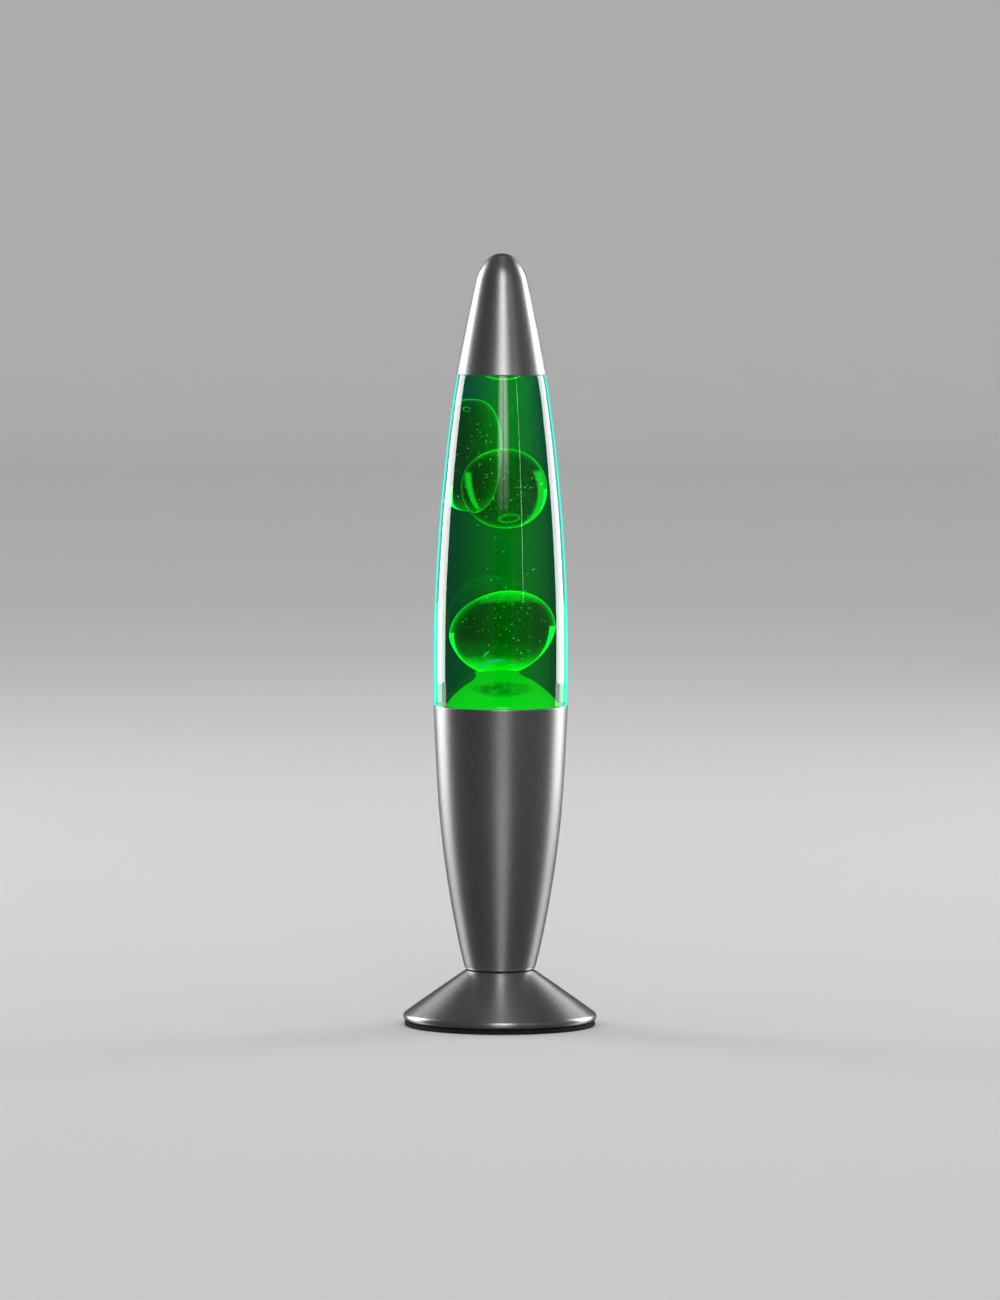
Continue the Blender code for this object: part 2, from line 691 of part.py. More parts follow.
def make_bulb():
    """An R39 reflector bulb with an E14 cap. The envelope is open inside its cap, as a blown bulb is."""
    shoulder = (BULB_RADIUS - 0.5, 98.0)
    reflector = smooth([shoulder, (BULB_RADIUS, 92.0), (17.4, 84.5), (12.6, 76.5), (7.4, 69.6)], 1)
    face = bezier((0.0, BULB_TOP_Z), (9.5, BULB_TOP_Z), (17.6, 105.2), shoulder, 4)[:-1]
    neck = [(6.1, 67.0), (6.0, 58.0)]
    turned("bulb_envelope", face + reflector + neck, BULB_GLASS, MEDIUM, wall=0.7)
    thread = thread_wave(49.2, 6.75, THREAD_DEPTH)
    sleeve = [(6.35, 66.6), (6.8, 66.6)]
    bottom = [(5.0, 48.8), (5.0, 49.3), (5.9, 49.7), (6.0, 57.0), (6.35, 57.6)]
    turned("bulb_screw_cap", sleeve + thread + bottom, NICKEL, MEDIUM)
    insulator = [(0.0, 48.4), (5.6, 48.4), (4.6, 47.4), (2.6, 46.5), (0.0, 46.5)]
    turned("bulb_insulator", insulator, PHENOLIC, MEDIUM)
    tip = [(0.0, 46.2), (2.3, 46.2), (2.1, 45.5), (1.2, BULB_TIP_Z), (0.0, BULB_TIP_Z)]
    turned("bulb_tip_contact", tip, STEEL, SMALL)
    stem = [(0.0, 79.0), (1.6, 79.0), (1.9, 74.0), (2.4, 68.0), (4.9, 60.0), (4.9, 58.6), (0.0, 58.6)]
    turned("bulb_stem", stem, CLEAR_GLASS, SMALL)
    post_foot, post_top = 1.0, 6.0
    for side, name in ((-1, "bulb_post_left"), (1, "bulb_post_right")):
        post = smooth([(side * post_foot, 0, 79.4), (side * 2.4, 0, 82.5), (side * post_top, 0, 88.0)])
        wire(name, post, 0.3, TUNGSTEN)
    arch = []
    for i in range(9):
        angle = math.pi * (0.04 + 0.92 * i / 8)
        height = 88.5 + 0.5 * math.sin(angle)
        arch.append((post_top * math.cos(angle), 3.4 * math.sin(angle), height))
    wire("bulb_filament", arch, 0.22, TUNGSTEN)


def main():
    make_top_cap()
    make_crown_cap()
    make_bottle()
    make_liquid()
    make_wax()
    make_coil()
    make_body()
    make_foot()
    make_grommet()
    make_weight()
    make_base_plate()
    make_clamp_stack()
    make_lampholder()
    make_contact_leaf()
    make_slotted_screw("holder_screw_1", (0.0, -5.8), 1.5, 36.8, 37.9, up=False)
    make_slotted_screw("holder_screw_2", (0.0, 5.8), 1.5, 36.8, 37.9, up=False)
    make_terminal_block()
    make_leads()
    make_bulb()


main()
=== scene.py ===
"""The looks of a rocket-shaped lava lamp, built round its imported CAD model.

Sizes in the profiles are millimetres, as (radius, height) pairs. The lamp's axis is +Z.
"""

import json
import math
import random

import bmesh
import bpy
from mathutils import Matrix, Vector, noise


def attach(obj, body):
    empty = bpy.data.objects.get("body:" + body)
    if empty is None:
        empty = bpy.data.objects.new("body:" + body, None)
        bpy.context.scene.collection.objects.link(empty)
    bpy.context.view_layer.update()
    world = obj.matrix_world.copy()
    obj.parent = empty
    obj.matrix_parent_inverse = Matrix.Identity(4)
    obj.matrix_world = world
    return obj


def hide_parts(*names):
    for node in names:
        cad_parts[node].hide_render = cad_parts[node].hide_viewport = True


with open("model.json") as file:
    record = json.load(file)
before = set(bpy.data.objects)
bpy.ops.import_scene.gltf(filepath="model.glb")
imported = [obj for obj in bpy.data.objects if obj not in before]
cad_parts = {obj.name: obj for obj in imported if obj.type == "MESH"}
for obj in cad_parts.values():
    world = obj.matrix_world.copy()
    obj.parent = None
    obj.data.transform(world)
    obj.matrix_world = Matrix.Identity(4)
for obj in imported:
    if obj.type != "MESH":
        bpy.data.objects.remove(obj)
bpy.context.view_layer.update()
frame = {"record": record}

MM = 0.001
ROUND = 160  # facets round the large turned pieces

HEIGHT = 339.3
CAP_EDGE_Z = 286.5
CAP_EDGE_RADIUS = 19.97
BODY_TOP_Z = 141.1
PAD_THICKNESS = 1.8
PLATE_BOTTOM_Z = 2.1
RIM_RADIUS = 42.5
LIQUID_LEVEL_Z = 289.5
GLASS_WALL = 2.0
WAX_IN_LIQUID_IOR = 1.085
LIQUID_SKIN = 0.15  # how far the liquid runs into the glass
BLOB_GAP = 0.6  # the film of liquid between a blob and the glass

BELLY = [
    (19.3, 286.5),
    (21.2, 275.3),
    (23.6, 257.3),
    (25.65, 238.0),
    (27.4, 218.0),
    (29.15, 187.0),
    (29.5, 158.0),
    (29.35, 146.0),
    (29.25, 141.6),
]
BODY_SIDE = [
    (29.48, BODY_TOP_Z - 0.8),
    (28.6, 121.0),
    (27.3, 99.0),
    (25.1, 77.0),
    (21.8, 55.0),
    (18.3, 37.0),
    (16.3, 28.6),
    (15.85, 26.7),
]

# The floating blobs: centre, and half sizes along X, Y and Z
LOW = ((0.6, 0.0, 173.2), (17.5, 17.0, 18.2))
HIGH = ((1.2, -6.0, 236.4), (15.7, 13.4, 17.4))
SIDE = ((-8.3, 11.8, 249.6), (8.4, 6.2, 24.6))
LOW_SHEAR = 0.13  # how fast the low blob's right side rises
NECK = (-2.2, 0.0, -18.8)  # where the pool's neck meets the low blob, from its centre
NECK_SHIFT = 1.4  # how far the neck stands to the left of the lamp's axis

# The hole for the cord's grommet: its middle, how steeply it points up, and its radius
GROMMET_PLACE = (0, 34.4, 10.93)
GROMMET_RISE = 54.7
GROMMET_RADIUS = 3.75

# Light painted into the wax as emission, for the bulb's light: all over, and where it is seen edge on
BASE_GLOW = 0.006
EDGE_GLOW = 2.4


# ---- Curves --------------------------------------------------------------------------------------


def bezier(start, leave, arrive, end, count):
    points = []
    for i in range(count + 1):
        t = i / count
        weights = ((1 - t) ** 3, 3 * t * (1 - t) ** 2, 3 * t * t * (1 - t), t**3)
        corners = (start, leave, arrive, end)
        points.append(tuple(sum(w * c[k] for w, c in zip(weights, corners)) for k in range(len(start))))
    return points


def smooth(stations, steps=6):
    """Points on a Catmull-Rom curve through the stations, steps to each span."""
    first = tuple(2 * a - b for a, b in zip(stations[0], stations[1]))
    last = tuple(2 * a - b for a, b in zip(stations[-1], stations[-2]))
    padded = [first, *stations, last]
    points = []
    for before, start, end, after in zip(padded, padded[1:], padded[2:], padded[3:]):
        leave = tuple(s + (e - b) / 6 for s, e, b in zip(start, end, before))
        arrive = tuple(e - (a - s) / 6 for e, a, s in zip(end, after, start))
        points += bezier(start, leave, arrive, end, steps)[:-1]
    return points + [stations[-1]]


def arc(centre, radius, start_degrees, end_degrees, count):
    points = []
    for i in range(count + 1):
        angle = math.radians(start_degrees + (end_degrees - start_degrees) * i / count)
        points.append((centre[0] + radius * math.cos(angle), centre[1] + radius * math.sin(angle)))
    return points


def offset(path, distance):
    """The path moved towards the axis, where the path runs down."""
    moved = []
    for i, (r, z) in enumerate(path):
        normals = []
        for a, b in ((i - 1, i), (i, i + 1)):
            if 0 <= a and b < len(path):
                along = Vector((path[b][0] - path[a][0], path[b][1] - path[a][1])).normalized()
                normals.append(Vector((along.y, -along.x)))
        middle = sum(normals, Vector((0, 0))).normalized()
        reach = distance / middle.dot(normals[0])
        moved.append((r + middle.x * reach, z + middle.y * reach))
    return moved


# ---- Materials -----------------------------------------------------------------------------------


class Graph:
    """A material's node tree, with short calls for the nodes used here."""

    def __init__(self, name):
        self.material = bpy.data.materials.new(name)
        self.material.use_nodes = True
        self.tree = self.material.node_tree
        self.shader = self.tree.nodes["Principled BSDF"]
        self.output = self.tree.nodes["Material Output"]
        self.place = self.node("ShaderNodeTexCoord").outputs["Object"]

    def node(self, kind, **settings):
        made = self.tree.nodes.new(kind)
        for key, value in settings.items():
            setattr(made, key, value)
        return made

    def link(self, source, target):
        self.tree.links.new(source, target)

    def feed(self, node, **values):
        """Set or link a node's inputs. An underscore in a name stands for a space."""
        for key, value in values.items():
            socket = node.inputs[key.replace("_", " ")]
            if isinstance(value, bpy.types.NodeSocket):
                self.link(value, socket)
            else:
                socket.default_value = value
        return node

    def math(self, operation, a, b=None):
        made = self.node("ShaderNodeMath", operation=operation)
        for socket, value in zip(made.inputs, (a, b)):
            if isinstance(value, bpy.types.NodeSocket):
                self.link(value, socket)
            elif value is not None:
                socket.default_value = value
        return made.outputs[0]

    def noise(self, vector, scale, detail=3.0, roughness=0.5):
        made = self.node("ShaderNodeTexNoise")
        self.feed(made, Vector=vector, Scale=scale, Detail=detail, Roughness=roughness)
        return made.outputs["Fac"]

    def stretch(self, factors):
        made = self.node("ShaderNodeMapping")
        self.feed(made, Vector=self.place, Scale=factors)
        return made.outputs["Vector"]

    def axes(self, vector=None):
        """The x, y and z of a vector, or of the place on the piece."""
        parts = self.node("ShaderNodeSeparateXYZ")
        self.link(self.place if vector is None else vector, parts.inputs[0])
        return parts.outputs

    def span(self, value, low, high, from_low=0.0, from_high=1.0):
        made = self.node("ShaderNodeMapRange")
        self.link(value, made.inputs["Value"])
        numbers = {"From Min": from_low, "From Max": from_high, "To Min": low, "To Max": high}
        for key, number in numbers.items():
            made.inputs[key].default_value = number
        return made.outputs["Result"]

    def blend(self, factor, low, high):
        made = self.node("ShaderNodeMix", data_type="RGBA")
        self.link(factor, made.inputs["Factor"])
        for socket, value in ((made.inputs[6], low), (made.inputs[7], high)):
            if isinstance(value, bpy.types.NodeSocket):
                self.link(value, socket)
            else:
                socket.default_value = (*value, 1.0)
        return made.outputs[2]

    def bump(self, height, depth, normal=None):
        made = self.node("ShaderNodeBump")
        self.feed(made, Height=height, Distance=depth, Strength=1.0)
        if normal:
            self.link(normal, made.inputs["Normal"])
        return made.outputs["Normal"]

    def circle(self, x, z, centre, radius, soft=0.03):
        """1 inside a circle in the plane of x and z, and 0 outside it, with a soft edge."""
        across = self.math("SUBTRACT", x, centre[0])
        up = self.math("SUBTRACT", z, centre[1])
        square = self.math("ADD", self.math("MULTIPLY", across, across), self.math("MULTIPLY", up, up))
        return self.span(self.math("SQRT", square), 1.0, 0.0, radius - soft, radius + soft)

    def product(self, first, *others):
        for other in others:
            first = self.math("MULTIPLY", first, other)
        return first

    def inverse(self, mask):
        return self.math("SUBTRACT", 1.0, mask)

    def shares(self, axes):
        """The place as x, y and z, each as a share of a blob's half size."""
        return self.axes(self.stretch([1 / (a * MM) for a in axes]))

    def rings(self):
        """A vector that hardly changes round Z, so that noise on it runs in fine rings."""
        x, y, z = self.axes()
        square = self.math("ADD", self.math("MULTIPLY", x, x), self.math("MULTIPLY", y, y))
        radius = self.math("SQRT", square)
        joined = self.node("ShaderNodeCombineXYZ")
        self.link(self.math("MULTIPLY", x, 0.02), joined.inputs[0])
        self.link(self.math("MULTIPLY", y, 0.02), joined.inputs[1])
        self.link(self.math("ADD", self.math("MULTIPLY", radius, 0.7), z), joined.inputs[2])
        return joined.outputs[0]

    def ramp(self, value, stops, interpolation):
        """A colour that follows (position, colour) stops along a value from 0 to 1."""
        made = self.node("ShaderNodeValToRGB")
        self.link(value, made.inputs[0])
        made.color_ramp.interpolation = interpolation
        elements = made.color_ramp.elements
        while len(elements) < len(stops):
            elements.new(0.5)
        for element, (position, colour) in zip(elements, stops):
            element.position = position
            element.color = (*colour, 1)
        return made.outputs[0]


def spun_aluminium(name, colour, roughness, anisotropy, brush, grain):
    """Aluminium under a satin lacquer. brush is how strongly the marks that run round the axis show,
    and grain is the depth of the fine blasted grain."""
    g = Graph(name)
    marks = g.noise(g.rings(), 2600.0, 4.0, 0.65)
    speckle = g.noise(g.place, 1300.0, 3.0, 0.7)
    cloud = g.noise(g.place, 22.0, 3.0, 0.5)
    darker = tuple(c * 0.9 for c in colour)
    tone = g.blend(g.span(cloud, 0.0, 1.0, 0.35, 0.65), darker, colour)
    lighter = tuple(min(1.0, c * 1.2) for c in colour)
    tone = g.blend(g.span(marks, 0.0, brush, 0.35, 0.75), tone, lighter)
    tone = g.blend(g.span(speckle, 0.0, 0.8, 0.42, 0.62), tone, lighter)
    normal = g.bump(marks, 0.000004 * brush)
    normal = g.bump(speckle, grain, normal=normal)
    tangent = g.node("ShaderNodeTangent", direction_type="RADIAL", axis="Z")
    g.feed(
        g.shader,
        Base_Color=tone,
        Roughness=g.span(speckle, roughness - 0.03, roughness + 0.04, 0.3, 0.7),
        Metallic=0.96,
        Anisotropic=anisotropy,
        Anisotropic_Rotation=0.25,
        Tangent=tangent.outputs[0],
        Normal=normal,
    )
    return g.material


def clear(name, ior, absorb=None, density=0.0, coat=0.0):
    """A clear solid or liquid. absorb is the colour that its depth leaves, at this density per metre.
    The coat bends light more than real glass does, so that the side lights reflect as brightly as in
    the photo."""
    g = Graph(name)
    ripple = g.noise(g.stretch((1, 1, 0.35)), 60.0, 1.0, 0.4)
    g.feed(
        g.shader,
        Base_Color=(1, 1, 1, 1),
        Roughness=0.0,
        Transmission_Weight=1.0,
        IOR=ior,
        Coat_Weight=coat,
        Coat_Roughness=0.01,
        Coat_IOR=1.9,
        Normal=g.bump(ripple, 0.000006),
    )
    if absorb:
        volume = g.node("ShaderNodeVolumeAbsorption")
        g.feed(volume, Color=(*absorb, 1.0), Density=density)
        g.link(volume.outputs[0], g.output.inputs["Volume"])
    return g


def molten_wax(name, keep=0.57, density=60.0, sharpness=5.0, light=None):
    """Clear green wax, with painted light: emission for the bulb's light, most where it is seen edge on.
    keep is how much green a depth of 1 / density metres passes, a higher sharpness gives a thinner
    painted bright edge, and light adds a blob's own painted bright patches to the painted glow."""
    g = clear(name, WAX_IN_LIQUID_IOR, (0.0, keep, 0.0), density)
    facing = g.node("ShaderNodeLayerWeight").outputs["Facing"]
    # The painted edge light: emission that grows where the wax is seen edge on
    rim = g.math("MULTIPLY", g.math("POWER", facing, sharpness), EDGE_GLOW)
    strength = light(g, rim) if light else g.math("ADD", rim, BASE_GLOW)
    g.feed(g.shader, Emission_Color=(0.01, 0.75, 0.02, 1.0), Emission_Strength=strength)
    return g.material


def low_light(g, rim):
    """The low blob's painted glow: ragged at its crown, and brighter and brighter towards the neck
    that feeds it.
    """
    z = g.axes()[2]
    ragged = g.math("MULTIPLY", g.math("SUBTRACT", g.noise(g.place, 260.0, 3.0, 0.6), 0.5), 6.0 * MM)
    # Painted glow at the crown, and painted glow that swells towards the neck
    crown = g.span(g.math("ADD", z, ragged), 0.0, 0.9, 13.0 * MM, 17.2 * MM)
    neck = g.node("ShaderNodeVectorMath", operation="DISTANCE")
    g.link(g.place, neck.inputs[0])
    neck.inputs[1].default_value = [c * MM for c in NECK]
    away = g.math("ADD", neck.outputs["Value"], ragged)
    neck_core_glow = g.span(away, 0.7, 0.0, 10.5 * MM, 16.5 * MM)
    neck_halo_glow = g.span(away, 0.22, 0.0, 11.0 * MM, 23.0 * MM)
    return g.math("ADD", g.math("ADD", rim, BASE_GLOW), g.math("ADD", crown, g.math("ADD", neck_core_glow, neck_halo_glow)))


def high_light(g, rim):
    """The high blob's two bright patches, one at its right edge and one left. They are painted where the
    photo shows the side lights bent by the wax, as shares of its half sizes, and stay put in any view."""
    x, y, z = g.shares(HIGH[1])
    front = g.span(y, 1.0, 0.0, -0.22, -0.02)
    right = g.product(
        g.inverse(g.circle(x, z, (-0.14, -0.05), 1.0)),
        g.span(x, 0.0, 1.0, 0.3, 0.35),
        g.span(z, 1.0, 0.0, 0.40, 0.50),
        front,
    )
    left = g.product(
        g.circle(x, z, (0.25, 0.25), 1.2),
        g.inverse(g.circle(x, z, (0.67, 0.3), 1.5)),
        g.span(x, 1.0, 0.0, -0.5, -0.45),
        g.span(z, 1.0, 0.0, 0.38, 0.44),
        g.span(z, 0.0, 1.0, -0.55, -0.45),
        front,
    )
    # The painted edge light is dimmed towards the blob's left side
    rim = g.product(rim, g.span(x, 0.2, 1.0, -0.72, -0.55))
    patches = g.math("MULTIPLY", g.math("ADD", right, left), 0.9)
    return g.math("ADD", g.math("ADD", rim, BASE_GLOW), patches)


def side_light(g, rim):
    """The rear blob's painted glow, brighter at its lower end."""
    z = g.shares(SIDE[1])[2]
    return g.math("ADD", g.math("ADD", rim, BASE_GLOW), g.span(z, 0.22, 0.0, -0.95, -0.70))


def glowing_wax():
    """The pool of wax over the bulb, its light from the bulb painted on as emission, with dimmer patches.
    """
    g = Graph("glowing_wax")
    patches = g.noise(g.stretch((1.0, 1.0, 2.2)), 260.0, 4.0, 0.6)
    half_width, half_height, middle_z = 11.5, 3.3, 149.2
    x, y, z = g.axes()
    across = g.math("MULTIPLY", x, 1 / (half_width * MM))
    up = g.math("MULTIPLY", g.math("SUBTRACT", z, middle_z * MM), 1 / (half_height * MM))
    # An ellipse on the pool's front side where the painted glow is dimmer, in patches
    thin = g.circle(across, up, (0.05, 0.0), 0.86, 0.2)
    dark = g.product(g.span(patches, 0.35, 1.0, 0.38, 0.58), thin, g.span(y, 1.0, 0.0, -0.003, 0.0))
    # The painted glow: bright green, and dim green in the patches
    tone = g.blend(dark, (0.0055, 0.74, 0.016), (0.004, 0.30, 0.012))
    g.feed(
        g.shader,
        Base_Color=(0, 0.02, 0, 1),
        Roughness=0.5,
        Specular_IOR_Level=0.0,
        Emission_Color=tone,
        Emission_Strength=1.12,
    )
    return g.material


def fringed_glass():
    """The bottle's wet outer face. Seen nearly edge on, it shows painted turquoise light: emission
    for the light that the glass carries.
    """
    g = clear("wet_glass", 1.34, coat=1.0)
    facing = g.node("ShaderNodeLayerWeight").outputs["Facing"]
    # The painted turquoise fringe, strongest where the glass is seen most edge on
    edge = g.span(facing, 0.0, 3.2, 0.65, 0.82)
    g.feed(g.shader, Emission_Color=(0.07, 0.58, 0.49, 1.0), Emission_Strength=edge)
    return g.material


def glow(name, colour, strength):
    """A droplet or bubble with a painted glow, which stands in for the light it catches."""
    g = Graph(name)
    mottle = g.noise(g.place, 900.0, 2.0, 0.5)
    darker = tuple(c * 0.6 for c in colour)
    tone = g.blend(mottle, darker, colour)
    g.feed(g.shader, Base_Color=(0, 0.01, 0, 1), Specular_IOR_Level=0.0)
    g.feed(g.shader, Emission_Color=tone, Emission_Strength=strength)
    return g.material


ALUMINIUM = spun_aluminium("satin_aluminium", (0.64, 0.64, 0.65), 0.33, 0.0, 0.05, 0.000016)
FOOT_ALUMINIUM = spun_aluminium("brushed_foot", (0.66, 0.66, 0.67), 0.30, 0.5, 0.8, 0.000002)

# The renderer bends light as if air lay on the far side of every face. So where the glass is wet inside,
# its outer face bends for the liquid, and the faces between glass and liquid bend nothing.
DRY_GLASS = clear("dry_glass", 1.5).material
WET_GLASS = fringed_glass()
WETTED_FACE = clear("wetted_face", 1.0).material
LIQUID = clear("teal_liquid", 1.0, (0.0, 0.90, 0.625), 160.0).material
WAX = molten_wax("molten_wax")
LOW_WAX = molten_wax("molten_wax_low", keep=0.75, light=low_light)
HIGH_WAX = molten_wax("molten_wax_high", light=high_light)
SIDE_WAX = molten_wax("molten_wax_side", keep=0.70, density=130.0, sharpness=3.6, light=side_light)
MOUND = glowing_wax()
RING = glow("bright_ring", (0.02, 0.80, 0.06), 0.75)
SPECK = glow("glowing_wax_speck", (0.30, 0.85, 0.36), 2.5)
GLINT = glow("turquoise_glint", (0.02, 0.62, 0.30), 1.5)


# ---- Making pieces -------------------------------------------------------------------------------


def put(name, data):
    """A new object in the scene that shows this data."""
    obj = bpy.data.objects.new(name, data)
    bpy.context.scene.collection.objects.link(obj)
    return obj


def turned(name, profile, finish, body, nodes=(), wall=0.0):
    """A turned piece that rides a body. A profile with a wall is a shell's outer side."""
    mesh = bpy.data.meshes.new(name)
    count = len(profile)
    edges = [(i, i + 1) for i in range(count - 1)]
    on_axis = profile[0][0] == 0 and profile[-1][0] == 0
    if not on_axis and not wall:
        edges.append((count - 1, 0))
    mesh.from_pydata([(r * MM, 0, z * MM) for r, z in profile], edges, [])
    obj = put(name, mesh)
    obj.data.materials.append(finish)
    screw = obj.modifiers.new("turn", "SCREW")
    screw.steps = ROUND
    screw.render_steps = ROUND
    screw.use_merge_vertices = True
    screw.merge_threshold = 1e-6
    screw.use_smooth_shade = True
    if wall:
        solidify = obj.modifiers.new("wall", "SOLIDIFY")
        solidify.thickness = wall * MM
        solidify.offset = -1.0
        solidify.use_even_offset = True
    claim(obj, body, nodes)
    return obj


def bake_modifiers(obj):
    """Turn the object's modifiers into mesh, and return the mesh."""
    graph = bpy.context.evaluated_depsgraph_get()
    mesh = bpy.data.meshes.new_from_object(obj.evaluated_get(graph))
    obj.modifiers.clear()
    obj.data = mesh
    return mesh


def claim(obj, body, nodes=()):
    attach(obj, body)
    if nodes:
        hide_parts(*nodes)


# ---- Cap, bottle, body, foot ---------------------------------------------------------------------


def make_cap():
    nose = bezier((0.0, HEIGHT), (6.4, HEIGHT), (10.2, 332.9), (11.4, 327.4), 24)
    cone = smooth([nose[-1], (15.15, 310.2), (CAP_EDGE_RADIUS - 0.12, CAP_EDGE_Z + 0.5)], 8)[1:]
    hem = [(CAP_EDGE_RADIUS, CAP_EDGE_Z + 0.15), (CAP_EDGE_RADIUS - 0.14, CAP_EDGE_Z)]
    turned("cap_spun", nose + cone + hem, ALUMINIUM, "cap", ["top_cap"], wall=0.5)


def bottle_outer():
    lip = [(11.2, 307.0), (12.0, 306.9), (12.6, 306.3), (12.6, 303.8), (12.2, 302.9), (11.5, 302.4)]
    shoulder = smooth([(11.4, 298.5), (13.2, 295.0), (17.1, 290.3), (19.3, 286.5)], 5)[:-1]
    seat = [(29.2, 141.35)] + smooth([(28.7, 141.2), (28.55, 139.6), (28.0, 132.0)], 3)
    heel = smooth([(26.9, 122.0), (25.6, 116.8), (23.7, 113.6), (20.6, 112.5)], 4)
    hollow = smooth([(17.5, 112.9), (12.5, 115.3), (6.0, 116.0), (0.0, 116.0)], 3)
    return lip + shoulder + smooth(BELLY) + seat + heel + hollow


def bottle_inner():
    floor = [(0.0, 118.5), (12.0, 117.8), (16.5, 115.6), (21.0, 115.4)]
    heel = smooth([(23.2, 117.2), (24.7, 122.5), (25.6, 131.0), (26.3, 139.0)], 3)
    belly = offset(smooth(BELLY), GLASS_WALL)[::-1]
    neck = smooth([(12.0, 293.0), (9.6, 297.0), (9.3, 301.0)], 3) + [(9.3, 306.4), (9.9, 307.0)]
    return floor + heel + belly + neck


def make_bottle():
    """The blown bottle. Its faces below the liquid's level take the wet finishes, inside and outside."""
    inner, outer = bottle_inner(), bottle_outer()
    bottle = turned("bottle_blown", inner + outer, DRY_GLASS, "bottle", ["bottle_glass"])
    bottle.data.materials.append(WET_GLASS)
    bottle.data.materials.append(WETTED_FACE)
    mesh = bake_modifiers(bottle)
    for face in mesh.polygons:
        x, y, z = face.center / MM
        if z < LIQUID_LEVEL_Z:
            inside = face.normal.x * x + face.normal.y * y < 0 or (z > 115 and abs(face.normal.z) > 0.95)
            face.material_index = 2 if inside else 1


def make_liquid():
    """The liquid runs a little into the glass, so that no film of air shows between them."""
    wall = [p for p in offset(bottle_inner()[::-1], -LIQUID_SKIN) if 120.0 < p[1] < LIQUID_LEVEL_Z]
    top = [(0.0, LIQUID_LEVEL_Z), (wall[0][0] - 0.9, LIQUID_LEVEL_Z)]
    bottom = [(23.4, 117.3), (21.0, 115.3), (16.5, 115.5), (12.0, 117.7), (0.0, 118.4)]
    turned("liquid_clear", top + wall + bottom, LIQUID, "bottle", ["liquid"])


def ball(shape, centre, radius):
    """Add a small sphere to a bmesh."""
    place = Matrix.Translation(Vector(centre) * MM)
    bmesh.ops.create_icosphere(shape, subdivisions=2, radius=radius * MM, matrix=place)


def from_bmesh(name, shape, finish, body, nodes=()):
    """A smooth piece made from a bmesh."""
    for face in shape.faces:
        face.smooth = True
    mesh = bpy.data.meshes.new(name)
    shape.to_mesh(mesh)
    shape.free()
    obj = put(name, mesh)
    mesh.materials.append(finish)
    claim(obj, body, nodes)
    return obj


INNER_BELLY = offset(smooth(BELLY), GLASS_WALL)


def inner_radius(z):
    """The radius of the bottle's inner wall at a height on its belly."""
    for (high_r, high_z), (low_r, low_z) in zip(INNER_BELLY, INNER_BELLY[1:]):
        if low_z <= z <= high_z:
            return low_r + (high_r - low_r) * (z - low_z) / (high_z - low_z)
    return INNER_BELLY[0][0]


def press(place):
    """Bring a point in, where it would run into the bottle's glass."""
    limit = inner_radius(place.z) - BLOB_GAP
    reach = math.hypot(place.x, place.y)
    if reach > limit:
        place.x *= limit / reach
        place.y *= limit / reach


def blob(
    name, centre, axes, body, node, finish, tilt=(0, 0), lean=0.0, shear=0.0, fullness=2.0, pressed=True
):
    """A floating piece of wax: an ellipsoid with a slow wobble, pressed flat where it meets the glass.
    tilt turns it about X and Y, lean pulls its foot in like a pear, shear lifts its right side, and
    fullness over 2 swells its ends."""
    wobble = Vector((1.0, 2.0, 3.0))
    shape = bmesh.new()
    bmesh.ops.create_icosphere(shape, subdivisions=6, radius=1.0)
    turn = Matrix.Rotation(math.radians(tilt[1]), 3, "Y") @ Matrix.Rotation(math.radians(tilt[0]), 3, "X")
    for vertex in shape.verts:
        direction = vertex.co.normalized()
        swell = 1 + 0.03 * noise.noise(direction * 0.9 + wobble)
        level = math.hypot(direction.x, direction.y) ** fullness + abs(direction.z) ** fullness
        swell /= level ** (1 / fullness)
        waist = 1 + lean * min(0.0, direction.z)
        grown = Vector((direction.x * waist, direction.y * waist, direction.z)) * swell
        place = Vector(c * a for c, a in zip(grown, axes))
        place.z += shear * place.x
        place = turn @ place + Vector(centre)
        if pressed:
            press(place)
        vertex.co = (place - Vector(centre)) * MM
    obj = from_bmesh(name, shape, finish, body, [node])
    obj.location = Vector(centre) * MM
    return obj


def specks(name, centre, axes, count, body, seed):
    """Tiny droplets scattered evenly through a blob, each with a painted glow."""
    scatter = random.Random(seed)
    shape = bmesh.new()
    for _ in range(count):
        while True:
            spot = Vector([scatter.uniform(-1, 1) for _ in range(3)])
            if spot.length < 0.86:
                break
        place = [c + s * a for c, s, a in zip(centre, spot, axes)]
        ball(shape, place, scatter.uniform(0.10, 0.24))
    from_bmesh(name, shape, SPECK, body)


